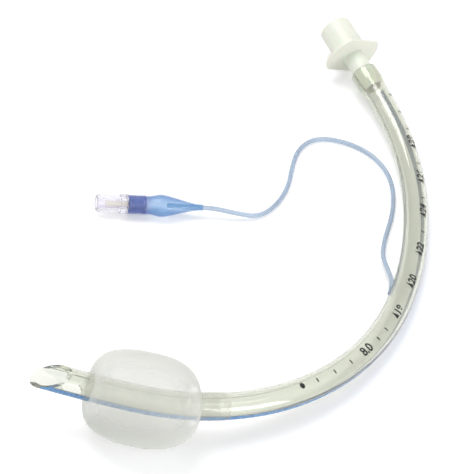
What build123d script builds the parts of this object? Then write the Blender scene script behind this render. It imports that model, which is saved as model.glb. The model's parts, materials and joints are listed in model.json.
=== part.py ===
"""Cuffed tracheal tube of 8.0 mm bore, lying on a flat surface. Millimetres, +Z up.

The tube is bent in one plane. Its parts are modelled in that plane, with the tip at the
origin and the line setting off along +X, and are then laid down on their three points of
rest: the cuff, the outside of the bend and the edge of the connector's flange. In the
finished frame the connector points along +Y, and the surface is at Z = 0.
"""

from build123d import *
from math import asin, cos, degrees, pi, radians, sin, sqrt, tan
import os

# Tube: bore, wall, and each bend from the tip as its length and its radius
BORE = 8.0
WALL = 1.45
BENDS = ((40.0, 520.0), (70.0, 122.0), (80.0, 125.0), (65.0, 171.0), (62.0, 128.0))
END_STRAIGHT = 11.5
BEVEL_ANGLE = 38.0
BEVEL_FACES = 4.0
TIP_ROUNDING = 0.4
EYE_STATION = 16.5
EYE_LENGTH = 8.0
EYE_WIDTH = 5.6

# Inflation lumen in the inner side of the wall, its plugs and its port under the cuff
LUMEN = 0.8
LUMEN_RADIUS = 4.72
PORT_STATION = 47.0
PORT_DIAMETER = 1.6
PLUG_UNDER_CUFF = 1.0
PLUG_LENGTH = 6.0
PROXIMAL_PLUG_GAP = 8.0

# Opaque stripe set flush in the outer side of the wall
STRIPE_ANGLE = 103.0
STRIPE_SPREAD = 38.0
STRIPE_DEPTH = 0.75

# Cuff: a thin blown film, bonded round the tube by a neck at each end
CUFF_STATION = 43.3
CUFF_LENGTH = 42.6
CUFF_DIAMETER = 37.0
CUFF_FILM = 0.3
CUFF_SQUARENESS = 2.5
DISTAL_NECK = 1.4
PROXIMAL_NECK = 13.4

# Connector: cone, flange with two flats, and the stem that stretches the tube's end
CONE_LARGE = 15.47
CONE_LENGTH = 16.0
CONE_TAPER = 1 / 40
CONE_BORE = 12.2
FUNNEL_LENGTH = 3.0
FLANGE_DIAMETER = 26.6
FLANGE_FLATS = 19.4
FLANGE_THICKNESS = 1.8
FLANGE_TURN = 14.0
STEM = 9.4
STEM_BORE = 7.4
STEM_IN_TUBE = 10.0
STEM_FREE = 9.8
FLARE_LENGTH = 5.0
EDGE_ROUNDING = 0.5

# Inflation line: a soft small tube, along points chosen by hand in the finished frame
LINE = 2.05
LEAVES_AT = (57.66, -51.67)
LEAVES_STATION = 196.0
LINE_ROUTE = (
    (51.2, -50.68, 6.4),
    (55.8, -46.22, 6.32),
    (59.22, -36.92, 4.6),
    (62.92, -27.92, 1.9),
    (70.47, -18.72, 1.06),
    (79.07, -10.32, 1.06),
    (87.17, 0.08, 1.06),
    (92.87, 12.88, 1.06),
    (92.07, 26.08, 1.06),
    (84.37, 36.98, 1.06),
    (72.07, 43.68, 1.06),
    (60.47, 40.28, 1.06),
    (51.87, 31.48, 1.06),
    (43.87, 21.08, 1.06),
    (33.47, 13.18, 1.06),
    (22.07, 9.08, 1.2),
    (11.37, 12.48, 3.4),
    (2.43, 17.03, 4.93),
    (-8.32, 21.12, 4.93),
    (-16.38, 24.58, 4.93),
)
BEND_SHARE = 0.45

# Pilot balloon and valve, measured along their own axis from the valve's mouth
VALVE_MOUTH = (-45.23, 35.18)
PILOT_HEADING = -20.85
HOUSING_END = 10.04
COLLAR_END = 13.07
HOUSING_DIAMETER = 6.9
COLLAR_DIAMETER = 8.4
NOTCH_WIDTH = 1.0
NOTCH_DEPTH = 0.3
RIM_DIAMETER = 7.3
RIM_LENGTH = 1.2
SOCKET_MOUTH = 4.3
SOCKET_TAPER = 0.06
SOCKET_DEPTH = 9.4
SEAT_THICKNESS = 1.2
SLEEVE_DIAMETER = 8.2
BALLOON_FILM = 0.45
SLEEVE_END = 21.2
WAIST = (22.6, 7.8)
BELLY = (28.0, 9.6)
SHOULDER = (35.5, 8.5)
TAPER = (41.0, 5.6)
TAIL_END = 46.0
TAIL_GRIP = 2.6
BODY_BORE = 5.0
BODY_FLOOR = 20.0
AIR_HOLE = 1.8

# Plunger, its seal and the spring that closes it
STEM_TIP = 4.0
PLUNGER_DIAMETER = 2.4
HEAD_DIAMETER = 4.4
HEAD_THICKNESS = 0.9
SEAL_THICKNESS = 0.7
RUNNING_GAP = 0.3
SPRING_DIAMETER = 3.4
SPRING_WIRE = 0.32
SPRING_TURNS = 4
SPRING_SEAT_GAP = 0.03

OUTSIDE = BORE / 2 + WALL
STEM_STRETCH = (STEM - BORE) / 2
CUFF_START = CUFF_STATION - CUFF_LENGTH / 2 - DISTAL_NECK
CUFF_FINISH = CUFF_STATION + CUFF_LENGTH / 2 + PROXIMAL_NECK
TUBE_END = sum(length for length, radius in BENDS) + END_STRAIGHT
FLARE_STATION = TUBE_END - END_STRAIGHT
FLANGE_STATION = TUBE_END + STEM_FREE
CONE_END = FLANGE_STATION + FLANGE_THICKNESS + CONE_LENGTH


def stretches():
    """Each bend as (station, end, x, y, heading, radius), then the straight end."""
    rows = []
    station, x, y, heading = 0.0, 0.0, 0.0, 0.0
    for length, radius in BENDS:
        rows.append((station, station + length, x, y, heading, radius))
        turn = length / radius
        x += radius * (sin(heading + turn) - sin(heading))
        y -= radius * (cos(heading + turn) - cos(heading))
        station += length
        heading += turn
    rows.append((station, CONE_END + CONE_LENGTH, x, y, heading, None))
    return rows


def at(station):
    """The line's x, y and heading at a station."""
    for start, end, x, y, heading, radius in stretches():
        if station <= end:
            break
    step = station - start
    if radius is None:
        return x + step * cos(heading), y + step * sin(heading), heading
    turned = heading + step / radius
    x += radius * (sin(turned) - sin(heading))
    y -= radius * (cos(turned) - cos(heading))
    return x, y, turned


def across(station):
    """The plane across the tube: X to the outside of the bend, Z towards the connector."""
    x, y, heading = at(station)
    return Plane(
        origin=(x, y, 0),
        x_dir=(sin(heading), -cos(heading), 0),
        z_dir=(cos(heading), sin(heading), 0),
    )


def along(section, first, last):
    """Carries a section along the bent line from one station to another."""
    solids = []
    for start, end, x, y, heading, radius in stretches():
        begin = max(start, first)
        step = min(end, last) - begin
        if step <= 0:
            continue
        face = across(begin) * section
        if radius is None:
            solids.append(extrude(face, amount=step))
        else:
            centre = (x - radius * sin(heading), y + radius * cos(heading), 0)
            solids.append(revolve(face, Axis(centre, (0, 0, 1)), degrees(step / radius)))
    joined = solids[0]
    for solid in solids[1:]:
        joined += solid
    return joined


def round_the_wall(angle, radius):
    """A point across the tube, at an angle from the plane's upper side to its outer side."""
    return radius * sin(radians(angle)), -radius * cos(radians(angle))


def turned_profile(*points):
    """A solid turned from (station, radius) points about Z."""
    outline = Polyline(*[(radius, 0, station) for station, radius in points], close=True)
    return revolve(make_face(outline), Axis.Z, 360)


def stripe_section():
    """The stripe's sector of the wall, flush with the outside."""
    reach = OUTSIDE * 2
    half = STRIPE_SPREAD / 2
    corners = [(0, 0)]
    corners += [round_the_wall(STRIPE_ANGLE + turn, reach) for turn in (-half, 0, half)]
    sector = make_face(Polyline(*corners, close=True))
    ring = Circle(OUTSIDE) - Circle(OUTSIDE - STRIPE_DEPTH)
    return ring & sector


def lumen_section():
    """The inflation lumen, in the inner side of the wall."""
    return Pos(-LUMEN_RADIUS, 0) * Circle(LUMEN / 2)


def beyond_bevel():
    """All that the slanted cut takes off the tip."""
    slope = radians(BEVEL_ANGLE)
    half = OUTSIDE / tan(slope)
    size = 6 * OUTSIDE
    lean = Rot(0, degrees(slope), 0) * Pos(size / 2, 0, 0) * Box(size, size, size)
    facing = Rot(0, 0, BEVEL_FACES - 90) * lean
    return across(half) * facing


def eye():
    """The side eye's cutter, through the wall opposite the bevel."""
    slot = Rot(0, 90, 0) * extrude(SlotOverall(EYE_LENGTH, EYE_WIDTH), amount=2 * OUTSIDE)
    return across(EYE_STATION) * Rot(0, 0, BEVEL_FACES + 90) * slot


def flared_end():
    """The tube's end, stretched over the stem, as outer and inner solids of revolution."""
    lip = TIP_ROUNDING
    grown = OUTSIDE + STEM_STRETCH
    outer = turned_profile(
        (0, 0),
        (0, OUTSIDE),
        (FLARE_LENGTH, grown),
        (END_STRAIGHT - lip, grown),
        (END_STRAIGHT, grown - lip),
        (END_STRAIGHT, 0),
    )
    inner = turned_profile(
        (0, 0),
        (0, BORE / 2),
        (FLARE_LENGTH, STEM / 2),
        (END_STRAIGHT, STEM / 2),
        (END_STRAIGHT, 0),
    )
    return outer - inner


def lumen_in_flare():
    """The lumen's way on through the stretched end of the wall."""
    near = lumen_section()
    far = Pos(-STEM_STRETCH, 0, FLARE_LENGTH) * near
    return loft([near, far], ruled=True) + extrude(far, amount=END_STRAIGHT - FLARE_LENGTH)


def tube_shaft():
    """The clear tube with its bevel, eye, lumen, port, stripe slot and stretched end."""
    section = Circle(OUTSIDE) - Circle(BORE / 2) - lumen_section() - stripe_section()
    shaft = along(section, 0, FLARE_STATION)
    shaft -= beyond_bevel()
    shaft -= eye()
    port = Rot(0, -90, 0) * Cylinder(
        PORT_DIAMETER / 2, OUTSIDE, align=(Align.CENTER, Align.CENTER, Align.MIN)
    )
    port = Pos(-LUMEN_RADIUS, 0, 0) * port
    shaft -= across(PORT_STATION) * port
    shaft += across(FLARE_STATION) * (flared_end() - lumen_in_flare())
    return shaft


def radiopaque_stripe():
    """The stripe, as long as the tube that isn't stretched."""
    return along(stripe_section(), 0, FLARE_STATION) - beyond_bevel()


def lumen_plug(station):
    """A short filling of the inflation lumen, up to a station."""
    return along(lumen_section(), station - PLUG_LENGTH, station)


def cuff_radius(share, radius, neck):
    """The blown film's radius at a share of its half length from its middle."""
    power = CUFF_SQUARENESS
    return neck + (radius - neck) * (1 - abs(share) ** power) ** (1 / power)


def blown(half, radius, neck):
    """A loft through circles across the tube, round at both shoulders."""
    shares = (0.9995, 0.985, 0.93, 0.82, 0.62, 0.33)
    shares = [-share for share in shares] + [0.0] + list(reversed(shares))
    circles = []
    for share in shares:
        ring = Circle(cuff_radius(share, radius, neck))
        circles.append(across(CUFF_STATION + share * half) * ring)
    return loft(circles)


def cuff():
    """The inflated cuff: film, shoulders and two necks, with the tube's place through it."""
    half = CUFF_LENGTH / 2
    neck = OUTSIDE + CUFF_FILM
    skin = blown(half, CUFF_DIAMETER / 2, neck)
    skin += along(Circle(neck), CUFF_START, CUFF_FINISH)
    air = blown(half - CUFF_FILM, CUFF_DIAMETER / 2 - CUFF_FILM, OUTSIDE)
    core = along(Circle(OUTSIDE), CUFF_START - CUFF_FILM, CUFF_FINISH + CUFF_FILM)
    return skin - air - core


def flange_outline():
    """A disc cut by two flats, turned as the photograph shows it."""
    disc = Circle(FLANGE_DIAMETER / 2) & Rectangle(FLANGE_DIAMETER * 2, FLANGE_FLATS)
    return Rot(0, 0, FLANGE_TURN) * disc


def connector():
    """The white connector: stem, flange and cone round one stepped bore."""
    tip = TUBE_END - STEM_IN_TUBE - FLARE_STATION
    tip_radius = BORE / 2 + STEM_STRETCH * tip / FLARE_LENGTH
    back = FLANGE_STATION - FLARE_STATION
    front = back + FLANGE_THICKNESS
    end = front + CONE_LENGTH
    large = CONE_LARGE / 2
    small = large - CONE_LENGTH * CONE_TAPER / 2
    root = EDGE_ROUNDING
    outer = turned_profile(
        (tip, 0),
        (tip, tip_radius),
        (FLARE_LENGTH, STEM / 2),
        (back - root, STEM / 2),
        (back, STEM / 2 + root),
        (front, STEM / 2 + root),
        (front, large),
        (end - root, small),
        (end, small - root),
        (end, 0),
    )
    flange = Pos(0, 0, back) * extrude(flange_outline(), amount=FLANGE_THICKNESS)
    flange = fillet(flange.edges().filter_by(Axis.Z, reverse=True), EDGE_ROUNDING)
    bore = turned_profile(
        (tip - root, 0),
        (tip - root, STEM_BORE / 2),
        (back, STEM_BORE / 2),
        (back + FUNNEL_LENGTH, CONE_BORE / 2),
        (end + root, CONE_BORE / 2),
        (end + root, 0),
    )
    return across(FLARE_STATION) * (outer + flange - bore)


def flange_drop(normal):
    """How far the flange reaches below its own middle, along a direction."""
    plane = across(FLANGE_STATION)
    corner = degrees(asin(FLANGE_FLATS / FLANGE_DIAMETER))
    drop = 0.0
    for depth in (0, FLANGE_THICKNESS):
        for side in (0, 180):
            for step in range(-20, 21):
                turn = radians(FLANGE_TURN + side + corner * step / 20)
                edge = Vector(cos(turn), sin(turn), 0) * FLANGE_DIAMETER / 2
                spot = plane.from_local_coords(edge + Vector(0, 0, depth))
                drop = max(drop, -(spot - plane.origin).dot(normal))
    return drop


def lean(normal, station):
    """The share of a round section's radius that counts as height."""
    x, y, heading = at(station)
    return sqrt(1 - Vector(cos(heading), sin(heading), 0).dot(normal) ** 2)


def cuff_rest(normal):
    """The cuff's lowest station and its radius there."""
    half = CUFF_LENGTH / 2
    neck = OUTSIDE + CUFF_FILM
    shares = [step / 50 for step in range(-45, 46)]
    rings = [
        (CUFF_STATION + share * half, cuff_radius(share, CUFF_DIAMETER / 2, neck))
        for share in shares
    ]
    return min(rings, key=lambda ring: lowest(ring[0], ring[1], normal))


def tube_rest(normal):
    """The bend's lowest station and the tube's radius there."""
    first = int(CUFF_STATION + CUFF_LENGTH)
    rings = [(station, OUTSIDE) for station in range(first, int(TUBE_END))]
    return min(rings, key=lambda ring: lowest(ring[0], ring[1], normal))


def lowest(station, radius, normal):
    """The lowest reach, along a normal, of a round section at a station."""
    x, y, heading = at(station)
    return Vector(x, y, 0).dot(normal) - radius * lean(normal, station)


def resting_plane():
    """The surface's normal and height, from the cuff, the bend and the flange's edge."""
    normal = Vector(0, 0, 1)
    for turn in range(20):
        rings = (cuff_rest(normal), tube_rest(normal))
        rests = [(station, radius * lean(normal, station)) for station, radius in rings]
        rests.append((FLANGE_STATION, flange_drop(normal)))
        spots = [Vector(at(station)[0], at(station)[1], 0) for station, height in rests]
        heights = [height / normal.Z for station, height in rests]
        run, cross = spots[1] - spots[0], spots[2] - spots[0]
        rise, climb = heights[1] - heights[0], heights[2] - heights[0]
        area = run.X * cross.Y - run.Y * cross.X
        slope_x = (rise * cross.Y - climb * run.Y) / area
        slope_y = (run.X * climb - cross.X * rise) / area
        normal = Vector(slope_x, slope_y, 1).normalized()
        base = (heights[0] - slope_x * spots[0].X - slope_y * spots[0].Y) * normal.Z
    return normal, base


def laid_down():
    """The move that lays the tube's plane on its rests, the connector along +Y."""
    up, base = resting_plane()
    heading = at(TUBE_END)[2]
    ahead = Vector(cos(heading), sin(heading), 0)
    ahead = (ahead - up * ahead.dot(up)).normalized()
    right = ahead.cross(up)
    x, y, turned = at(LEAVES_STATION)
    exit_point = Vector(x, y, 0)
    origin = Vector(
        LEAVES_AT[0] - exit_point.dot(right), LEAVES_AT[1] - exit_point.dot(ahead), base
    )
    plane = Plane(
        origin=origin,
        x_dir=(right.X, ahead.X, up.X),
        z_dir=(right.Z, ahead.Z, up.Z),
    )
    return plane.location


def line_path():
    """The inflation line's middle: straight runs joined by arcs as large as they allow."""
    points = [Vector(*point) for point in LINE_ROUTE]
    radii = []
    for before, corner, after in zip(points, points[1:], points[2:]):
        turn = radians((corner - before).get_angle(after - corner))
        run = min((corner - before).length, (after - corner).length)
        radii.append(BEND_SHARE * run / tan(turn / 2))
    print("line radii", [round(radius, 1) for radius in radii])
    return FilletPolyline(*points, radius=radii)


def inflation_line():
    """The small tube from the pocket in the wall to the inside of the pilot balloon."""
    path = line_path()
    start = Plane(origin=path @ 0, z_dir=path % 0)
    skin = sweep(start * Circle(LINE / 2), path=path)
    share = skin.volume / (path.length * pi * LINE ** 2 / 4)
    print("line length", round(path.length, 1), "volume share", round(share, 4))
    return skin


def on_pilot_axis(height):
    """The pilot assembly's place: its axis level, its balloon resting on the surface."""
    heading = radians(PILOT_HEADING)
    return Plane(
        origin=(VALVE_MOUTH[0], VALVE_MOUTH[1], height),
        x_dir=(-sin(heading), cos(heading), 0),
        z_dir=(cos(heading), sin(heading), 0),
    ).location


def balloon_profile(film, start, end, tail):
    """The balloon's outline from its sleeve to its tail, in by the given film."""
    knots = (WAIST, BELLY, SHOULDER, TAPER)
    first = (start[1], 0, start[0])
    last = (tail[1], 0, tail[0])
    curve = Spline(
        first, *[(diameter / 2 - film, 0, station) for station, diameter in knots], last
    )
    rest = Polyline(last, (tail[1], 0, end), (0, 0, end), (0, 0, start[0]), first)
    return revolve(make_face(curve + rest), Axis.Z, 360)


def pilot_balloon():
    """The blue balloon: a sleeve over the valve's body, a soft belly and a tail."""
    grip = TAIL_END - TAIL_GRIP
    tail_radius = LINE / 2 + BALLOON_FILM
    belly = balloon_profile(0, (SLEEVE_END, SLEEVE_DIAMETER / 2), TAIL_END, (grip, tail_radius))
    sleeve = Pos(0, 0, COLLAR_END) * Cylinder(
        SLEEVE_DIAMETER / 2, SLEEVE_END - COLLAR_END, align=(Align.CENTER, Align.CENTER, Align.MIN)
    )
    inside = SLEEVE_DIAMETER / 2 - BALLOON_FILM
    air = balloon_profile(
        BALLOON_FILM, (SLEEVE_END, inside), grip, (grip - BALLOON_FILM, LINE / 2)
    )
    body = Pos(0, 0, COLLAR_END) * Cylinder(
        inside, SLEEVE_END - COLLAR_END, align=(Align.CENTER, Align.CENTER, Align.MIN)
    )
    line = Cylinder(LINE / 2, TAIL_END, align=(Align.CENTER, Align.CENTER, Align.MIN))
    return belly + sleeve - air - body - line


def valve_housing():
    """The clear front: a tapered syringe socket, a collar and the seat for the seal."""
    mouth = SOCKET_MOUTH / 2
    bottom = mouth - SOCKET_DEPTH * SOCKET_TAPER / 2
    outer = turned_profile(
        (0, 0),
        (0, RIM_DIAMETER / 2),
        (RIM_LENGTH, RIM_DIAMETER / 2),
        (RIM_LENGTH, HOUSING_DIAMETER / 2),
        (HOUSING_END, HOUSING_DIAMETER / 2),
        (HOUSING_END, COLLAR_DIAMETER / 2),
        (COLLAR_END, COLLAR_DIAMETER / 2),
        (COLLAR_END, 0),
    )
    hole = PLUNGER_DIAMETER / 2 + RUNNING_GAP
    socket = turned_profile(
        (0, 0), (0, mouth), (SOCKET_DEPTH, bottom), (SOCKET_DEPTH, 0)
    )
    way = turned_profile((0, 0), (0, hole), (COLLAR_END, hole), (COLLAR_END, 0))
    notch = Pos(COLLAR_DIAMETER / 2, 0, (HOUSING_END + COLLAR_END) / 2) * Box(
        NOTCH_DEPTH * 2, NOTCH_WIDTH, COLLAR_END - HOUSING_END - SEAT_THICKNESS
    )
    notches = [Rot(0, 0, turn) * notch for turn in range(0, 360, 45)]
    return outer - socket - way - notches


def valve_body():
    """The cup behind the seat, inside the balloon's sleeve, that holds the spring."""
    radius = SLEEVE_DIAMETER / 2 - BALLOON_FILM
    outer = turned_profile(
        (COLLAR_END, 0),
        (COLLAR_END, radius),
        (SLEEVE_END - EDGE_ROUNDING, radius),
        (SLEEVE_END, radius - EDGE_ROUNDING),
        (SLEEVE_END, 0),
    )
    chamber = turned_profile(
        (COLLAR_END, 0),
        (COLLAR_END, BODY_BORE / 2),
        (BODY_FLOOR, BODY_BORE / 2),
        (BODY_FLOOR, AIR_HOLE / 2),
        (SLEEVE_END, AIR_HOLE / 2),
        (SLEEVE_END, 0),
    )
    return outer - chamber


def valve_plunger():
    """The stem that a syringe's tip pushes, with its head behind the seal."""
    head = COLLAR_END + SEAL_THICKNESS
    stem = Pos(0, 0, STEM_TIP) * Cylinder(
        PLUNGER_DIAMETER / 2, head - STEM_TIP, align=(Align.CENTER, Align.CENTER, Align.MIN)
    )
    disc = Pos(0, 0, head) * Cylinder(
        HEAD_DIAMETER / 2, HEAD_THICKNESS, align=(Align.CENTER, Align.CENTER, Align.MIN)
    )
    return stem + disc


def valve_seal():
    """The dark ring that the spring presses on the seat."""
    ring = Circle(HEAD_DIAMETER / 2) - Circle(PLUNGER_DIAMETER / 2)
    return Pos(0, 0, COLLAR_END) * extrude(ring, amount=SEAL_THICKNESS)


def valve_spring():
    """The coil between the plunger's head and the floor of the cup."""
    start = COLLAR_END + SEAL_THICKNESS + HEAD_THICKNESS + SPRING_WIRE / 2 + SPRING_SEAT_GAP
    end = BODY_FLOOR - SPRING_WIRE / 2 - SPRING_SEAT_GAP
    radius = (SPRING_DIAMETER - SPRING_WIRE) / 2
    coil = Helix(pitch=(end - start) / SPRING_TURNS, height=end - start, radius=radius)
    section = Plane(origin=coil @ 0, z_dir=coil % 0) * Circle(SPRING_WIRE / 2)
    return Pos(0, 0, start) * sweep(section, path=coil, is_frenet=True)


def main():
    """Builds each piece, puts it in its place and writes its file."""
    os.makedirs("parts", exist_ok=True)
    laid = laid_down()
    line = inflation_line()
    balloon = pilot_balloon()
    pilot = on_pilot_axis(balloon.bounding_box().max.X)
    pieces = {
        "tube_shaft": laid * tube_shaft() - line,
        "radiopaque_stripe": laid * radiopaque_stripe(),
        "distal_lumen_plug": laid * lumen_plug(CUFF_START + PLUG_UNDER_CUFF),
        "proximal_lumen_plug": laid * lumen_plug(LEAVES_STATION + PROXIMAL_PLUG_GAP + PLUG_LENGTH),
        "cuff": laid * cuff(),
        "connector": laid * connector(),
        "inflation_line": line,
        "pilot_balloon": pilot * balloon - line,
        "valve_housing": pilot * valve_housing(),
        "valve_body": pilot * valve_body(),
        "valve_plunger": pilot * valve_plunger(),
        "valve_seal": pilot * valve_seal(),
        "valve_spring": pilot * valve_spring(),
    }
    for name, piece in pieces.items():
        export_step(piece, f"parts/{name}.step")


main()
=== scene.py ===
"""Looks of a cuffed tracheal tube: clear tube, film cuff, printing, pilot balloon and stage."""

import json
import math

import bpy
from mathutils import Matrix, Vector


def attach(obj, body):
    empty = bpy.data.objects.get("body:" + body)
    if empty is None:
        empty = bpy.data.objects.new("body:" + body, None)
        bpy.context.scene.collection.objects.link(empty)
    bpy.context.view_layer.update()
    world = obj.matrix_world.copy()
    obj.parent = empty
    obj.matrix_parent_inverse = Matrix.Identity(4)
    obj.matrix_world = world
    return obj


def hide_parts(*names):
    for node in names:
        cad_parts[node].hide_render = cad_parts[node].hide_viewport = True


bl_info = {
    "name": "Cuffed tube",
    "version": (1, 0, 0),
    "blender": (4, 5, 0),
    "location": "3D View > Sidebar > Tube",
    "description": "Dresses a cuffed tracheal tube and lights it on a white surface",
    "category": "Object",
}

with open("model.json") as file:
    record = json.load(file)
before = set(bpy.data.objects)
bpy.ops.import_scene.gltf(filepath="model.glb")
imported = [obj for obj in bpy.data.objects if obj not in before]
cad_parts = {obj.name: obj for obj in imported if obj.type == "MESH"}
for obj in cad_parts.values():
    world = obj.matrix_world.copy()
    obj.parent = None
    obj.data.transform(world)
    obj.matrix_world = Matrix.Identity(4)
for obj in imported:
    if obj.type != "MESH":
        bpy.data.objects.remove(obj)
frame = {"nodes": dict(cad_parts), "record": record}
NODES = frame["nodes"]
MOUNTS = {mount["name"]: mount for mount in frame["record"]["mounts"]}

# The tube's line: its bends from the tip on, as length and radius, then the straight run to the
# cone's end. A station is a distance along this line from the tip.
BENDS = ((0.040, 0.520), (0.070, 0.122), (0.080, 0.125), (0.065, 0.171), (0.062, 0.128))
LAST_STRAIGHT = 0.0391
TUBE_LENGTH = sum(length for length, _ in BENDS) + LAST_STRAIGHT
CONE_END = Vector(MOUNTS["airway_cone"]["pos_m"])
CONE_AXIS = Vector(MOUNTS["airway_cone"]["axis"]).normalized()

# Upwards, square to the plane of the bends
TILT = Vector((0.1082620, -0.0940058, 0.9896678))
UPPER_SIDE = (TILT - CONE_AXIS * TILT.dot(CONE_AXIS)).normalized()

# The cuff: how far its necks lie off the tube, the step from a neck to the blown part, the power
# that makes its outline full, and the rings and segments of its mesh
NECK_GAP = 0.0003
NECK_STEP = 0.0006
FULLNESS = 2.5
CUFF_RINGS = 34
CUFF_SEGMENTS = 144

# The pleats: where they begin as a share of the half length, how deep they and the slow sag of
# the film are as shares of the radius, and the waves round the cuff as turns, shift and share
PLEATS_FROM = 0.55
PLEAT_DEPTH = 0.012
SAG_DEPTH = 0.006
WIDE_WAVE = (23, 0.6)
FINE_WAVE = (37, 1.3, 0.4)

# The print, as stations: its start and end, the bore size, the depths' wedges, and the plain ticks
PRINT_START = 0.112
PRINT_END = 0.312
BORE_STATION = 0.151
DEPTHS = (("18", 0.177), ("20", 0.197), ("22", 0.217), ("24", 0.240), ("26", 0.260), ("28", 0.280))
TICKS = (0.120, 0.130, 0.140, 0.160, 0.167, 0.230, 0.250, 0.270, 0.290, 0.300, 0.310)

# The marks' shapes: how narrow the dot and the wedges are along the tube, a digit's height as a
# share of its font's size, and how finely a mark is cut before it is wrapped round the tube
DOT_WIDTH = 0.82
WEDGE_WIDTH = 0.55
DIGIT_SHARE = 0.7
CUT_SPACING = 0.0004

# The pilot balloon's axis, from the valve's mouth to the balloon's tail
VALVE_MOUTH = Vector(MOUNTS["syringe_socket"]["pos_m"])
PILOT_AXIS = -Vector(MOUNTS["syringe_socket"]["axis"]).normalized()

# The balloon's outline, as distances from the valve's mouth with shares of the radius of the
# sleeve, of the belly and of the tail
SLEEVE_OUTLINE = (
    (0.01307, 1.0), (0.0150, 0.995), (0.0180, 0.985), (0.0206, 1.0), (0.0214, 0.985),
    (0.0226, 0.955), (0.0245, 1.03),
)
BELLY_OUTLINE = (
    (0.0265, 0.975), (0.0280, 1.0), (0.0295, 0.965), (0.0325, 0.835), (0.0355, 0.68),
    (0.0385, 0.52), (0.0410, 0.40), (0.0427, 0.335),
)
TAIL_OUTLINE = ((0.0436, 1.05), (0.0445, 1.0), (0.0460, 0.97))
STEPS_PER_KNOT = 4
BALLOON_SEGMENTS = 72

# Between these distances the film leaves the valve and its colour changes. The drawn film is
# thinner by this share, so that it stays clear of the line.
FILM_LEAVES = (0.0205, 0.0240)
FILM_CLEARANCE = 0.1

# The inflation line's route, from its pocket in the tube's wall to the pilot balloon
LINE_ROUTE = (
    (0.05120, -0.05068, 0.00640),
    (0.05580, -0.04622, 0.00632),
    (0.05922, -0.03692, 0.00460),
    (0.06292, -0.02792, 0.00190),
    (0.07047, -0.01872, 0.00106),
    (0.07907, -0.01032, 0.00106),
    (0.08717, 0.00008, 0.00106),
    (0.09287, 0.01288, 0.00106),
    (0.09207, 0.02608, 0.00106),
    (0.08437, 0.03698, 0.00106),
    (0.07207, 0.04368, 0.00106),
    (0.06047, 0.04028, 0.00106),
    (0.05187, 0.03148, 0.00106),
    (0.04387, 0.02108, 0.00106),
    (0.03347, 0.01318, 0.00106),
    (0.02207, 0.00908, 0.00120),
    (0.01137, 0.01248, 0.00340),
    (0.00243, 0.01703, 0.00493),
    (-0.00832, 0.02112, 0.00493),
    (-0.01638, 0.02458, 0.00493),
)

# The soft lights: name, place, width, and the stage setting that holds the power
LIGHTS = (
    ("key_light", (-0.40, 0.70, 1.65), 1.1, "key_power"),
    ("fill_light", (-0.3, -1.2, 0.9), 1.2, "fill_power"),
    ("low_light", (0.42, -1.05, 0.30), 0.5, "low_power"),
)

# The camera's place and its directions to the right and ahead, fitted to the photograph
CAMERA_PLACE = (-0.448624, -0.488652, 0.685532)
CAMERA_RIGHT = Vector((0.84974, -0.47792, 0.22258)).normalized()
CAMERA_AHEAD = Vector((0.47555, 0.51256, -0.71494)).normalized()
SENSOR_WIDTH = 36


def srgb(red, green, blue):
    """A colour given as 0 to 255 on a screen, as the linear values that shaders take."""
    shares = (red / 255, green / 255, blue / 255)
    return tuple(s / 12.92 if s <= 0.04045 else ((s + 0.055) / 1.055) ** 2.4 for s in shares)


def length_property(name, description, default):
    """A size in metres, shown in the units of the scene."""
    return bpy.props.FloatProperty(
        name=name, description=description, default=default, subtype="DISTANCE", unit="LENGTH", precision=5
    )


def angle_property(name, description, degrees):
    """An angle, given in degrees."""
    return bpy.props.FloatProperty(
        name=name, description=description, default=math.radians(degrees), subtype="ANGLE", unit="ROTATION"
    )


def power_property(name, description, default):
    """A lamp's power in watts."""
    return bpy.props.FloatProperty(name=name, description=description, default=default, unit="POWER")


def colour_property(name, description, default):
    """A colour in linear values."""
    return bpy.props.FloatVectorProperty(
        name=name, description=description, default=default, subtype="COLOR", size=3, min=0, max=1
    )


class TubeSizes(bpy.types.PropertyGroup):
    """Sizes of the tube and of the film blown round it."""

    outside: length_property("Outside", "The tube's outside diameter", 0.0109)
    cuff_place: length_property("Cuff place", "The cuff's middle, from the tube's tip", 0.0433)
    cuff_length: length_property("Cuff length", "The blown part of the cuff, between its necks", 0.0426)
    cuff_diameter: length_property("Cuff diameter", "The cuff's largest diameter", 0.037)
    cuff_film: length_property("Cuff film", "How thick the film looks", 0.00022)
    near_neck: length_property("Tip neck", "The cuff's collar on the tip side", 0.0014)
    far_neck: length_property("Back neck", "The cuff's collar on the connector side", 0.0134)


class PrintSizes(bpy.types.PropertyGroup):
    """Sizes of the marks printed on the tube."""

    digit_height: length_property("Digits", "The height of the depth numbers", 0.0034)
    bore_height: length_property("Bore digits", "The height of the printed bore size", 0.0038)
    weight: length_property("Weight", "How much bolder the digits are than their font", 0.00014)
    number_gap: length_property("Number gap", "From a depth's wedge to its number", 0.0038)
    dot_radius: length_property("Dot", "Half the length of the oval dot", 0.00135)
    wedge_radius: length_property("Wedge", "From a wedge's middle to its point", 0.0024)
    tick_width: length_property("Tick width", "A tick's size along the tube", 0.0006)
    tick_length: length_property("Tick length", "A tick's size round the tube", 0.0019)
    ink: length_property("Ink", "The thickness of the ink", 0.00003)
    ink_gap: length_property("Ink gap", "The space between the tube and the ink", 0.00002)
    start_angle: angle_property("Angle at the start", "The print's place round the tube at the dot", 3)
    end_angle: angle_property("Angle at the end", "The print's place round the tube at its end", 20)


class PilotSizes(bpy.types.PropertyGroup):
    """Sizes of the inflation line and its balloon."""

    line: length_property("Line", "The inflation line's diameter", 0.00205)
    sleeve: length_property("Sleeve", "The balloon's diameter over the valve", 0.0082)
    belly: length_property("Belly", "The balloon's largest diameter", 0.0096)
    film: length_property("Film", "The balloon's film", 0.0004)


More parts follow.
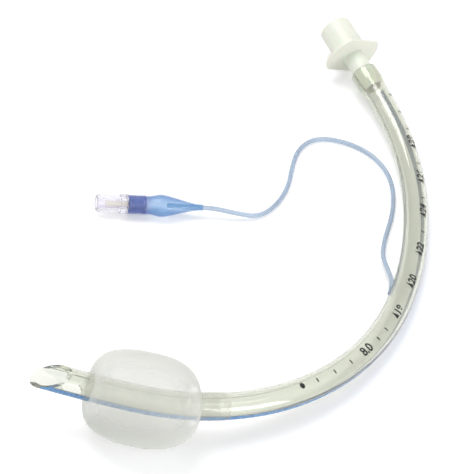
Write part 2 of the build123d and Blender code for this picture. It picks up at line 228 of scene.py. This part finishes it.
class TubeColours(bpy.types.PropertyGroup):
    """Colours of the pieces."""

    tube: colour_property("Tube", "Clear vinyl", srgb(249, 250, 245))
    tube_deep: colour_property("Deep tube", "The vinyl seen through its length", (0.64, 0.68, 0.45))
    stripe: colour_property("Stripe", "Blue line in the wall", srgb(96, 150, 205))
    stripe_deep: colour_property("Deep stripe", "The stripe where it is thickest", srgb(64, 96, 150))
    resin: colour_property("Resin", "Filling of the narrow lumen", srgb(70, 76, 78))
    resin_deep: colour_property("Deep resin", "The filling's darker places", srgb(38, 42, 44))
    cuff: colour_property("Cuff", "Milky film", srgb(240, 241, 234))
    neck: colour_property("Neck", "The film where it is bonded to the tube", srgb(214, 217, 196))
    connector: colour_property("Connector", "Ivory white plastic", srgb(240, 243, 230))
    line: colour_property("Line", "Grey-blue vinyl", srgb(202, 218, 236))
    balloon: colour_property("Balloon", "Blue film", srgb(66, 172, 236))
    sleeve: colour_property("Sleeve", "The film on the valve", srgb(48, 92, 196))
    balloon_deep: colour_property("Deep balloon", "The film seen edge-on", srgb(36, 74, 176))
    housing: colour_property("Housing", "Clear plastic", srgb(246, 244, 252))
    valve_body: colour_property("Valve body", "Clear plastic behind the seat", srgb(214, 222, 246))
    plunger: colour_property("Plunger", "Cream plastic", srgb(255, 252, 226))
    seal: colour_property("Seal", "Dark rubber", srgb(16, 20, 34))
    wire: colour_property("Wire", "Drawn steel", srgb(190, 190, 192))
    wire_deep: colour_property("Deep wire", "The steel's darker places", srgb(150, 150, 154))
    ink: colour_property("Ink", "Printing", srgb(8, 8, 10))
    ink_thin: colour_property("Thin ink", "Printing where it is thin", srgb(20, 21, 23))


class StageSettings(bpy.types.PropertyGroup):
    """The surface, the light and the camera."""

    floor: length_property("Floor", "How wide the surface is", 8.0)
    floor_colour: colour_property("Floor colour", "The surface as the lamps light it", (0.86, 0.86, 0.87))
    floor_glow: bpy.props.FloatProperty(
        name="Floor glow", description="What the camera sees on top of the lit surface", default=0.32, min=0
    )
    key_power: power_property("Key light", "The soft light above the far side", 21.0)
    fill_power: power_property("Fill light", "The weak light beside the camera", 3.5)
    low_power: power_property("Low light", "The low light in front, on the right", 4.0)
    world: bpy.props.FloatProperty(
        name="Surroundings", description="How bright the room is", default=0.42, min=0
    )
    lens: bpy.props.FloatProperty(
        name="Lens", description="The focal length that gives the photograph's angle",
        default=171.22, unit="CAMERA",
    )


def deselect_all():
    """Nothing stays selected."""
    for thing in list(bpy.context.selected_objects):
        thing.select_set(False)


def edit(mode):
    """Goes into or out of edit mode."""
    bpy.ops.object.mode_set(mode=mode)


def named(name):
    """Gives the active object and its mesh their name."""
    piece = bpy.context.view_layer.objects.active
    piece.name = name
    piece.data.name = name
    return piece


def tube_spot(station):
    """The tube's middle, heading and outer side at a station."""
    left = TUBE_LENGTH - station
    heading = CONE_AXIS.copy()
    outer = heading.cross(UPPER_SIDE)
    step = min(left, LAST_STRAIGHT)
    place = CONE_END - heading * step
    left -= step
    for length, radius in reversed(BENDS):
        step = min(left, length)
        centre = place - outer * radius
        turn = Matrix.Rotation(-step / radius, 3, UPPER_SIDE)
        outer = turn @ outer
        heading = turn @ heading
        place = centre + outer * radius
        left -= step
    return place, heading, outer


def lay_round_tube(piece, station, angle, radius):
    """Wraps a flat mesh on the tube: its X runs along the tube and its Y up the print."""
    for vertex in piece.data.vertices:
        x, y, z = vertex.co
        place, _, outer = tube_spot(station + x)
        turn = angle - y / radius
        vertex.co = place + (UPPER_SIDE * math.cos(turn) + outer * math.sin(turn)) * (radius + z)
    piece.data.update()


def carry_along_tube(piece):
    """Bends a mesh that stands on Z, so that its Z runs along the tube."""
    for vertex in piece.data.vertices:
        x, y, z = vertex.co
        place, _, outer = tube_spot(z)
        vertex.co = place + outer * x - UPPER_SIDE * y
    piece.data.update()


def carry_to_pilot(piece):
    """Lays a mesh that stands on Z along the pilot balloon's axis."""
    side = Vector((0, 0, 1)).cross(PILOT_AXIS)
    turn = Matrix((side, Vector((0, 0, 1)), PILOT_AXIS)).transposed().to_4x4()
    piece.data.transform(Matrix.Translation(VALVE_MOUTH) @ turn)


def outward():
    """Turns the active piece's faces outwards."""
    edit("EDIT")
    bpy.ops.mesh.select_all(action="SELECT")
    bpy.ops.mesh.normals_make_consistent(inside=False)
    edit("OBJECT")


def thicken(piece, thickness, offset):
    """Gives a film its wall, inwards for an offset of -1 and outwards for 1."""
    modifier = piece.modifiers.new("Solidify", "SOLIDIFY")
    modifier.thickness = thickness
    modifier.offset = offset
    bpy.ops.object.modifier_apply(modifier=modifier.name)


def film_of_rings(name, rings, segments):
    """A film about Z, drawn up ring by ring from (station, radius) pairs."""
    deselect_all()
    station, radius = rings[0]
    bpy.ops.mesh.primitive_circle_add(vertices=segments, radius=radius, location=(0, 0, station))
    piece = named(name)
    edit("EDIT")
    for (before, narrow), (after, wide) in zip(rings, rings[1:]):
        bpy.ops.mesh.extrude_region_move(TRANSFORM_OT_translate={"value": (0, 0, after - before)})
        bpy.ops.transform.resize(value=(wide / narrow, wide / narrow, 1))
    edit("OBJECT")
    bpy.ops.object.transform_apply(location=True, rotation=True, scale=True)
    return piece


def cover(thing, material):
    """Gives an object its only material."""
    thing.data.materials.clear()
    thing.data.materials.append(material)


class Shader:
    """One material: a surface shader with named sockets, and the nodes that vary it."""

    def __init__(self, name):
        self.material = bpy.data.materials.new(name)
        self.material.use_nodes = True
        self.nodes = self.material.node_tree.nodes
        self.links = self.material.node_tree.links
        self.surface = self.nodes["Principled BSDF"]
        self.place = self.nodes.new("ShaderNodeTexCoord").outputs["Object"]

    def set(self, **sockets):
        """Sets sockets by their names, with underscores for blanks."""
        for name, value in sockets.items():
            socket = self.surface.inputs[name.replace("_", " ")]
            socket.default_value = (*value, 1) if hasattr(value, "__len__") else value

    def noise(self, scale, detail=3.0):
        """A cloudy pattern, in turns per metre."""
        noise = self.nodes.new("ShaderNodeTexNoise")
        noise.inputs["Scale"].default_value = scale
        noise.inputs["Detail"].default_value = detail
        self.links.new(self.place, noise.inputs["Vector"])
        return noise.outputs["Fac"]

    def spread(self, factor, low, high, start=0.35, end=0.65):
        """Maps a pattern to a range of values."""
        ramp = self.nodes.new("ShaderNodeMapRange")
        ramp.inputs["From Min"].default_value = start
        ramp.inputs["From Max"].default_value = end
        ramp.inputs["To Min"].default_value = low
        ramp.inputs["To Max"].default_value = high
        self.links.new(factor, ramp.inputs["Value"])
        return ramp.outputs["Result"]

    def rim(self, face, edge, blend=0.4):
        """A value that grows from where a film is seen straight on to where it is seen edge-on."""
        weight = self.nodes.new("ShaderNodeLayerWeight")
        weight.inputs["Blend"].default_value = blend
        return self.spread(weight.outputs["Facing"], face, edge, 0, 1)

    def along(self, origin, axis, first, last):
        """A value that grows from 0 to 1 between two distances along an axis."""
        dot = self.nodes.new("ShaderNodeVectorMath")
        dot.operation = "DOT_PRODUCT"
        dot.inputs[1].default_value = axis
        self.links.new(self.place, dot.inputs[0])
        start = origin.dot(axis)
        return self.spread(dot.outputs["Value"], 0, 1, start + first, start + last)

    def mix(self, factor, one, other):
        """Mixes two colours, each a value or another node's output, by a pattern."""
        mix = self.nodes.new("ShaderNodeMix")
        mix.data_type = "RGBA"
        self.links.new(factor, mix.inputs["Factor"])
        for socket, colour in ((mix.inputs["A"], one), (mix.inputs["B"], other)):
            if isinstance(colour, bpy.types.NodeSocket):
                self.links.new(colour, socket)
            else:
                socket.default_value = (*colour, 1)
        return mix.outputs["Result"]

    def colour(self, factor, one, other):
        """Varies the surface between two colours."""
        self.link(self.mix(factor, one, other), "Base Color")

    def roughness(self, factor, low, high):
        """Varies the gloss of the surface between two values."""
        self.link(self.spread(factor, low, high), "Roughness")

    def grain(self, factor, depth, strength=0.5):
        """Turns a pattern into a relief of a given depth in metres."""
        bump = self.nodes.new("ShaderNodeBump")
        bump.inputs["Strength"].default_value = strength
        bump.inputs["Distance"].default_value = depth
        self.links.new(factor, bump.inputs["Height"])
        self.link(bump.outputs["Normal"], "Normal")

    def tint_inside(self, colour, density):
        """Tints light by how far it goes through the solid."""
        absorb = self.nodes.new("ShaderNodeVolumeAbsorption")
        absorb.inputs["Color"].default_value = (*colour, 1)
        absorb.inputs["Density"].default_value = density
        self.links.new(absorb.outputs["Volume"], self.nodes["Material Output"].inputs["Volume"])

    def link(self, output, socket):
        """Feeds a socket of the surface."""
        self.links.new(output, self.surface.inputs[socket])


def darker(colour, share):
    """The same colour, down by a share."""
    return tuple(value * (1 - share) for value in colour)


def clear_vinyl(colours):
    """Clear, slightly milky tube with an oily gloss, tinted by its depth."""
    shader = Shader("clear_vinyl")
    shader.set(IOR=1.5, Transmission_Weight=0.9, Coat_Weight=0.3, Coat_Roughness=0.05)
    shader.colour(shader.noise(60, detail=2), colours.tube, darker(colours.tube, 0.04))
    shader.roughness(shader.noise(900, detail=4), 0.03, 0.09)
    shader.grain(shader.noise(350, detail=2), depth=0.00002, strength=0.3)
    shader.tint_inside(colours.tube_deep, density=120)
    return shader.material


def stripe_vinyl(colours):
    """The blue line, deeper in places."""
    shader = Shader("stripe_vinyl")
    shader.set(Transmission_Weight=0.15, IOR=1.5)
    cloud = shader.spread(shader.noise(14, detail=1), 0, 1, start=0.55, end=0.70)
    shader.colour(cloud, colours.stripe, colours.stripe_deep)
    shader.roughness(shader.noise(800), 0.2, 0.35)
    return shader.material


def plug_resin(colours):
    """Cured adhesive in the narrow lumen."""
    shader = Shader("plug_resin")
    shader.colour(shader.noise(1500), colours.resin, colours.resin_deep)
    shader.roughness(shader.noise(2500), 0.25, 0.5)
    return shader.material


def cuff_film(colours):
    """Milky film, half see-through, denser where it is seen edge-on, with a soft sheen."""
    shader = Shader("cuff_film")
    shader.set(IOR=1.4, Specular_IOR_Level=0.4, Coat_Weight=0.3, Coat_Roughness=0.32)
    shader.colour(shader.noise(45), colours.cuff, darker(colours.cuff, 0.06))
    shader.roughness(shader.noise(300, detail=4), 0.45, 0.6)
    shader.link(shader.rim(0.20, 0.60), "Alpha")
    shader.grain(shader.noise(160), depth=0.00006)
    return shader.material


def bonded_film(colours):
    """The same film where it is bonded to the tube, clear and glossy."""
    shader = Shader("bonded_film")
    shader.set(IOR=1.45, Coat_Weight=0.3, Coat_Roughness=0.1)
    cloud = shader.noise(300)
    shader.colour(cloud, colours.cuff, colours.neck)
    shader.roughness(cloud, 0.12, 0.3)
    shader.link(shader.spread(shader.noise(120, detail=2), 0.08, 0.22), "Alpha")
    return shader.material


def ivory_plastic(colours):
    """Moulded connector, satin, with a trace of mould texture."""
    shader = Shader("ivory_plastic")
    shader.set(IOR=1.48, Subsurface_Weight=0.25, Subsurface_Scale=0.002)
    shader.colour(shader.noise(90, detail=2), colours.connector, darker(colours.connector, 0.05))
    shader.roughness(shader.noise(1400, detail=4), 0.32, 0.46)
    shader.grain(shader.noise(2600), depth=0.00002)
    return shader.material


def line_vinyl(colours):
    """Soft small tube, grey-blue and half clear."""
    shader = Shader("line_vinyl")
    shader.set(IOR=1.4, Transmission_Weight=0.55, Coat_Weight=0.3, Coat_Roughness=0.1)
    shader.colour(shader.noise(40, detail=2), colours.line, darker(colours.line, 0.12))
    shader.roughness(shader.noise(900), 0.10, 0.20)
    return shader.material


def balloon_film(colours):
    """Clear blue film, deeper on the valve and where it is seen edge-on."""
    shader = Shader("balloon_film")
    shader.set(IOR=1.45, Coat_Weight=0.8, Coat_Roughness=0.1)
    cloud = shader.spread(shader.noise(420), 0, 1, start=0.42, end=0.62)
    belly = shader.mix(shader.rim(0, 1, blend=0.35), colours.balloon, colours.balloon_deep)
    sleeve = shader.mix(cloud, colours.sleeve, colours.balloon_deep)
    shader.colour(shader.along(VALVE_MOUTH, PILOT_AXIS, *FILM_LEAVES), sleeve, belly)
    shader.link(shader.spread(cloud, 0.12, 0.24, start=0, end=1), "Roughness")
    shader.link(shader.rim(0.22, 0.62), "Alpha")
    shader.grain(cloud, depth=0.00003)
    return shader.material


def clear_plastic(colours):
    """Hard clear housing."""
    shader = Shader("clear_plastic")
    shader.set(IOR=1.49, Transmission_Weight=0.92, Base_Color=colours.housing)
    shader.roughness(shader.noise(1200), 0.03, 0.10)
    shader.grain(shader.noise(700, detail=2), depth=0.00001)
    return shader.material


def plain_moulding(name, colour, rough, clear=0.0):
    """A small moulding with a little mottle."""
    shader = Shader(name)
    shader.set(Transmission_Weight=clear, IOR=1.45)
    shader.colour(shader.noise(700), colour, darker(colour, 0.1))
    shader.roughness(shader.noise(2200), rough, rough + 0.15)
    return shader.material


def spring_wire(colours):
    """Drawn steel wire."""
    shader = Shader("spring_wire")
    shader.set(Metallic=1.0)
    shader.colour(shader.noise(3000), colours.wire, colours.wire_deep)
    shader.roughness(shader.noise(5000), 0.22, 0.38)
    return shader.material


def printing_ink(colours):
    """Black ink, thin at places."""
    shader = Shader("printing_ink")
    shader.colour(shader.noise(2500), colours.ink, colours.ink_thin)
    shader.roughness(shader.noise(3000), 0.45, 0.65)
    return shader.material


class DressTube(bpy.types.Operator):
    """Finishes the clear tube, its stripe and the fillings of its lumen"""

    bl_idname = "cuffed_tube.dress_tube"
    bl_label = "Tube, stripe and plugs"

    def execute(self, context):
        colours = context.scene.tube_colours
        cover(NODES["tube_shaft"], clear_vinyl(colours))
        cover(NODES["radiopaque_stripe"], stripe_vinyl(colours))
        resin = plug_resin(colours)
        cover(NODES["distal_lumen_plug"], resin)
        cover(NODES["proximal_lumen_plug"], resin)
        return {"FINISHED"}


class DressConnector(bpy.types.Operator):
    """Finishes the moulded connector"""

    bl_idname = "cuffed_tube.dress_connector"
    bl_label = "Connector"

    def execute(self, context):
        cover(NODES["connector"], ivory_plastic(context.scene.tube_colours))
        return {"FINISHED"}


def cuff_rings(sizes):
    """The cuff's outline from its tip neck to its back neck, as (station, radius)."""
    half = sizes.cuff_length / 2
    start, end = sizes.cuff_place - half, sizes.cuff_place + half
    neck = sizes.outside / 2 + NECK_GAP
    rise = sizes.cuff_diameter / 2 - neck
    rings = [(start - sizes.near_neck, neck), (start - NECK_STEP, neck)]
    for step in range(1, CUFF_RINGS):
        share = -math.cos(math.pi * step / CUFF_RINGS)
        height = (1 - abs(share) ** FULLNESS) ** (1 / FULLNESS)
        rings.append((sizes.cuff_place + share * half, neck + rise * height))
    return [*rings, (end + NECK_STEP, neck), (end + sizes.far_neck, neck)]


def pleat(piece, sizes):
    """Draws the film into fine pleats where it is gathered to its necks, and lets it sag a little."""
    half = sizes.cuff_length / 2
    wide_turns, wide_share = WIDE_WAVE
    fine_turns, fine_shift, fine_share = FINE_WAVE
    for vertex in piece.data.vertices:
        x, y, z = vertex.co
        share = abs(z - sizes.cuff_place) / half
        if share >= 1:
            continue
        turn = math.atan2(y, x)
        near = max(0.0, (share - PLEATS_FROM) / (1 - PLEATS_FROM)) ** 2 * (1 - share ** 8)
        wide = math.sin(wide_turns * turn + 2 * math.sin(3 * turn)) * wide_share
        fine = math.sin(fine_turns * turn + fine_shift) * fine_share
        slow = math.sin(2 * turn + 0.6) * math.sin(math.pi * (z - sizes.cuff_place) / half)
        change = 1 + PLEAT_DEPTH * near * (wide + fine) - SAG_DEPTH * (1 - share) * abs(slow)
        vertex.co = (x * change, y * change, z)


class BlowCuff(bpy.types.Operator):
    """Blows the cuff's film round the tube, with pleats at its necks"""

    bl_idname = "cuffed_tube.blow_cuff"
    bl_label = "Cuff"

    def execute(self, context):
        sizes = context.scene.tube_sizes
        piece = film_of_rings("cuff_film", cuff_rings(sizes), CUFF_SEGMENTS)
        pleat(piece, sizes)
        for face in piece.data.polygons:
            bonded = abs(face.center.z - sizes.cuff_place) > sizes.cuff_length / 2
            face.material_index = int(bonded)
        carry_along_tube(piece)
        outward()
        thicken(piece, sizes.cuff_film, offset=-1)
        bpy.ops.object.shade_smooth()
        for film in (cuff_film, bonded_film):
            piece.data.materials.append(film(context.scene.tube_colours))
        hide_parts("cuff")
        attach(piece, "tube")
        return {"FINISHED"}


def split_for_curve(piece):
    """Cuts a flat mesh by parallel planes both ways, so that it can follow the tube."""
    low = [min(vertex.co[axis] for vertex in piece.data.vertices) for axis in (0, 1)]
    high = [max(vertex.co[axis] for vertex in piece.data.vertices) for axis in (0, 1)]
    edit("EDIT")
    for axis, normal in ((0, (1, 0, 0)), (1, (0, 1, 0))):
        for cut in range(1, int((high[axis] - low[axis]) / CUT_SPACING) + 1):
            place = low[axis] + cut * CUT_SPACING
            bpy.ops.mesh.select_all(action="SELECT")
            bpy.ops.mesh.bisect(plane_co=[place * value for value in normal], plane_no=normal)
    edit("OBJECT")


def outward_from_tube(piece, station):
    """Turns a mark's faces away from the tube."""
    place = tube_spot(station)[0]
    face = max(piece.data.polygons, key=lambda polygon: polygon.area)
    if face.normal.dot(face.center - place) < 0:
        edit("EDIT")
        bpy.ops.mesh.select_all(action="SELECT")
        bpy.ops.mesh.flip_normals()
        edit("OBJECT")


def print_on_tube(context, piece, station, ink):
    """Lays a flat mark on the tube as a thin coat of ink."""
    sizes, prints = context.scene.tube_sizes, context.scene.tube_print
    bpy.ops.object.transform_apply(location=True, rotation=True, scale=True)
    split_for_curve(piece)
    share = (station - PRINT_START) / (PRINT_END - PRINT_START)
    angle = prints.start_angle + (prints.end_angle - prints.start_angle) * share
    lay_round_tube(piece, station, angle, sizes.outside / 2 + prints.ink_gap)
    outward_from_tube(piece, station)
    thicken(piece, prints.ink, offset=1)
    cover(piece, ink)
    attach(piece, "tube")


def flat_text(name, words, height, weight):
    """Digits of a given height, as a flat mesh centred on its place."""
    deselect_all()
    bpy.ops.object.text_add(location=(0, 0, 0))
    text = bpy.context.view_layer.objects.active
    text.data.body = words
    text.data.size = height / DIGIT_SHARE
    text.data.offset = weight
    text.data.align_x = "CENTER"
    text.data.align_y = "CENTER"
    bpy.ops.object.convert(target="MESH")
    return named(name)


def flat_spot(name, corners, radius, width):
    """A flat mark with a number of corners, narrowed along the tube to a share of its width."""
    deselect_all()
    bpy.ops.mesh.primitive_circle_add(vertices=corners, radius=radius, fill_type="NGON")
    bpy.ops.transform.resize(value=(width, 1, 1))
    return named(name)


def flat_tick(name, width, length):
    """A short plain line across the print."""
    deselect_all()
    bpy.ops.mesh.primitive_plane_add(size=1)
    bpy.ops.transform.resize(value=(width, length, 1))
    return named(name)


def flat_marks(prints):
    """Makes the flat marks one after the other, each with its station."""
    yield flat_spot("print_dot", 48, prints.dot_radius, DOT_WIDTH), PRINT_START
    yield flat_text("bore_size", "8.0", prints.bore_height, prints.weight), BORE_STATION
    for words, station in DEPTHS:
        yield flat_spot(f"depth_wedge_{words}", 3, prints.wedge_radius, WEDGE_WIDTH), station
        number = flat_text(f"depth_{words}", words, prints.digit_height, prints.weight)
        yield number, station + prints.number_gap
    for number, station in enumerate(TICKS):
        yield flat_tick(f"tick_{number}", prints.tick_width, prints.tick_length), station


class PrintMarks(bpy.types.Operator):
    """Prints the dot, the bore size, the depth numbers and plain ticks on the tube"""

    bl_idname = "cuffed_tube.print_marks"
    bl_label = "Printing"

    def execute(self, context):
        ink = printing_ink(context.scene.tube_colours)
        for piece, station in flat_marks(context.scene.tube_print):
            print_on_tube(context, piece, station, ink)
        return {"FINISHED"}


class LayLine(bpy.types.Operator):
    """Lays the inflation line along its route"""

    bl_idname = "cuffed_tube.lay_line"
    bl_label = "Inflation line"

    def execute(self, context):
        curve = bpy.data.curves.new("inflation_tube", "CURVE")
        curve.dimensions = "3D"
        spline = curve.splines.new("NURBS")
        spline.points.add(len(LINE_ROUTE) - 1)
        for point, place in zip(spline.points, LINE_ROUTE):
            point.co = (*place, 1)
        spline.order_u = 3
        spline.use_endpoint_u = True
        spline.resolution_u = 10
        curve.bevel_depth = context.scene.tube_pilot.line / 2
        curve.bevel_resolution = 5
        curve.use_fill_caps = True
        piece = bpy.data.objects.new("inflation_tube", curve)
        context.scene.collection.objects.link(piece)
        cover(piece, line_vinyl(context.scene.tube_colours))
        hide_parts("inflation_line")
        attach(piece, "tube")
        return {"FINISHED"}


def smooth_rings(knots):
    """Runs a smooth outline through knots of (station, radius)."""
    rings = []
    last = len(knots) - 1
    for index in range(last):
        before, here = knots[max(index - 1, 0)], knots[index]
        after, beyond = knots[index + 1], knots[min(index + 2, last)]
        leave, arrive = (after[1] - before[1]) / 2, (beyond[1] - here[1]) / 2
        for step in range(STEPS_PER_KNOT):
            t = step / STEPS_PER_KNOT
            radius = (
                (2 * t ** 3 - 3 * t ** 2 + 1) * here[1] + (t ** 3 - 2 * t ** 2 + t) * leave
                + (3 * t ** 2 - 2 * t ** 3) * after[1] + (t ** 3 - t ** 2) * arrive
            )
            rings.append((here[0] + (after[0] - here[0]) * t, radius))
    return [*rings, knots[-1]]


def balloon_rings(sizes):
    """The balloon's outline from its sleeve's end to its tail, as (station, radius)."""
    parts = (
        (sizes.sleeve / 2, SLEEVE_OUTLINE),
        (sizes.belly / 2, BELLY_OUTLINE),
        (sizes.line / 2 + sizes.film, TAIL_OUTLINE),
    )
    return smooth_rings([(place, radius * share) for radius, outline in parts for place, share in outline])


class BlowBalloon(bpy.types.Operator):
    """Blows the blue pilot balloon over the valve and the end of the line"""

    bl_idname = "cuffed_tube.blow_balloon"
    bl_label = "Pilot balloon"

    def execute(self, context):
        sizes = context.scene.tube_pilot
        piece = film_of_rings("balloon_film", balloon_rings(sizes), BALLOON_SEGMENTS)
        outward()
        thicken(piece, sizes.film * (1 - FILM_CLEARANCE), offset=-1)
        bpy.ops.object.shade_smooth()
        carry_to_pilot(piece)
        cover(piece, balloon_film(context.scene.tube_colours))
        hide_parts("pilot_balloon")
        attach(piece, "tube")
        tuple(LINE_ROUTE[0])
        return {"FINISHED"}


class DressValve(bpy.types.Operator):
    """Finishes the clear housing and what works inside it"""

    bl_idname = "cuffed_tube.dress_valve"
    bl_label = "Valve"

    def execute(self, context):
        colours = context.scene.tube_colours
        cover(NODES["valve_housing"], clear_plastic(colours))
        cover(NODES["valve_body"], plain_moulding("valve_body_clear", colours.valve_body, 0.08, clear=0.9))
        cover(NODES["valve_plunger"], plain_moulding("plunger_cream", colours.plunger, 0.35))
        cover(NODES["valve_seal"], plain_moulding("seal_rubber", colours.seal, 0.5))
        cover(NODES["valve_spring"], spring_wire(colours))
        return {"FINISHED"}


def show_background(tree, output, lit, seen):
    """Shows one shader to the camera, reflections and clear pieces, and lights with the other."""
    nodes, links = tree.nodes, tree.links
    path = nodes.new("ShaderNodeLightPath")
    share = path.outputs["Is Camera Ray"]
    for ray in ("Is Glossy Ray", "Is Transmission Ray"):
        most = nodes.new("ShaderNodeMath")
        most.operation = "MAXIMUM"
        links.new(share, most.inputs[0])
        links.new(path.outputs[ray], most.inputs[1])
        share = most.outputs["Value"]
    mix = nodes.new("ShaderNodeMixShader")
    links.new(share, mix.inputs["Fac"])
    links.new(lit, mix.inputs[1])
    links.new(seen, mix.inputs[2])
    links.new(mix.outputs["Shader"], nodes[output].inputs["Surface"])


def floor_material(stage):
    """White surface that keeps the shadows."""
    material = bpy.data.materials.new("white_surface")
    material.use_nodes = True
    tree = material.node_tree
    nodes, links = tree.nodes, tree.links
    nodes.remove(nodes["Principled BSDF"])
    lit = nodes.new("ShaderNodeBsdfDiffuse")
    lit.inputs["Color"].default_value = (*stage.floor_colour, 1)
    glow = nodes.new("ShaderNodeEmission")
    glow.inputs["Color"].default_value = (1, 1, 1, 1)
    glow.inputs["Strength"].default_value = stage.floor_glow
    both = nodes.new("ShaderNodeAddShader")
    links.new(lit.outputs["BSDF"], both.inputs[0])
    links.new(glow.outputs["Emission"], both.inputs[1])
    show_background(tree, "Material Output", lit.outputs["BSDF"], both.outputs["Shader"])
    return material


def set_world(strength):
    """White room: full white to the eye, softer as light."""
    world = bpy.data.worlds.new("white_room")
    bpy.context.scene.world = world
    world.use_nodes = True
    tree = world.node_tree
    seen, lit = tree.nodes["Background"], tree.nodes.new("ShaderNodeBackground")
    for background, level in ((seen, 1.0), (lit, strength)):
        background.inputs["Color"].default_value = (1, 1, 1, 1)
        background.inputs["Strength"].default_value = level
    show_background(tree, "World Output", lit.outputs["Background"], seen.outputs["Background"])


def soft_light(name, place, width, power):
    """A square soft light that looks at the tube."""
    deselect_all()
    bpy.ops.object.light_add(type="AREA", location=place)
    light = bpy.context.view_layer.objects.active
    light.name = name
    light.data.shape = "SQUARE"
    light.data.size = width
    light.data.energy = power
    light.rotation_euler = (-Vector(place)).to_track_quat("-Z", "Y").to_euler()


class SetStage(bpy.types.Operator):
    """Sets the white surface, the room and the soft lights"""

    bl_idname = "cuffed_tube.set_stage"
    bl_label = "Stage and light"

    def execute(self, context):
        stage = context.scene.tube_stage
        deselect_all()
        bpy.ops.mesh.primitive_plane_add(size=stage.floor, location=(0, 0, 0))
        floor = named("floor")
        cover(floor, floor_material(stage))
        set_world(stage.world)
        for name, place, width, power in LIGHTS:
            soft_light(name, place, width, getattr(stage, power))
        context.scene.view_settings.view_transform = "Standard"
        return {"FINISHED"}


class PlaceCamera(bpy.types.Operator):
    """Puts the camera where the photograph was taken from"""

    bl_idname = "cuffed_tube.place_camera"
    bl_label = "Camera"

    def execute(self, context):
        data = bpy.data.cameras.new("camera")
        camera = bpy.data.objects.new("camera", data)
        context.scene.collection.objects.link(camera)
        up = CAMERA_RIGHT.cross(CAMERA_AHEAD).normalized()
        turn = Matrix((CAMERA_RIGHT, up, -CAMERA_AHEAD)).transposed().to_4x4()
        camera.matrix_world = Matrix.Translation(CAMERA_PLACE) @ turn
        data.sensor_width = SENSOR_WIDTH
        data.lens = context.scene.tube_stage.lens
        data.clip_start = 0.01
        context.scene.camera = camera
        return {"FINISHED"}


PIECES = (
    DressTube, DressConnector, BlowCuff, PrintMarks, LayLine, BlowBalloon, DressValve, SetStage, PlaceCamera,
)
GROUPS = {
    "tube_sizes": TubeSizes,
    "tube_print": PrintSizes,
    "tube_pilot": PilotSizes,
    "tube_colours": TubeColours,
    "tube_stage": StageSettings,
}


class TubePanel(bpy.types.Panel):
    """Lists the sizes, the colours and the pieces"""

    bl_idname = "VIEW3D_PT_cuffed_tube"
    bl_label = "Cuffed tube"
    bl_space_type = "VIEW_3D"
    bl_region_type = "UI"
    bl_category = "Tube"

    def draw(self, context):
        for group, kind in GROUPS.items():
            box = self.layout.box()
            for name in kind.__annotations__:
                box.prop(getattr(context.scene, group), name)
        for piece in PIECES:
            self.layout.operator(piece.bl_idname)


def register():
    """Adds the classes and the settings on the scene."""
    for kind in (*GROUPS.values(), *PIECES, TubePanel):
        bpy.utils.register_class(kind)
    for name, kind in GROUPS.items():
        setattr(bpy.types.Scene, name, bpy.props.PointerProperty(type=kind))


def unregister():
    """Takes them away again."""
    for name in GROUPS:
        delattr(bpy.types.Scene, name)
    for kind in reversed((*GROUPS.values(), *PIECES, TubePanel)):
        bpy.utils.unregister_class(kind)


def main():
    """Makes every piece in order."""
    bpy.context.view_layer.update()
    register()
    for piece in PIECES:
        group, name = piece.bl_idname.split(".")
        getattr(getattr(bpy.ops, group), name)()


if __name__ == "__main__":
    main()
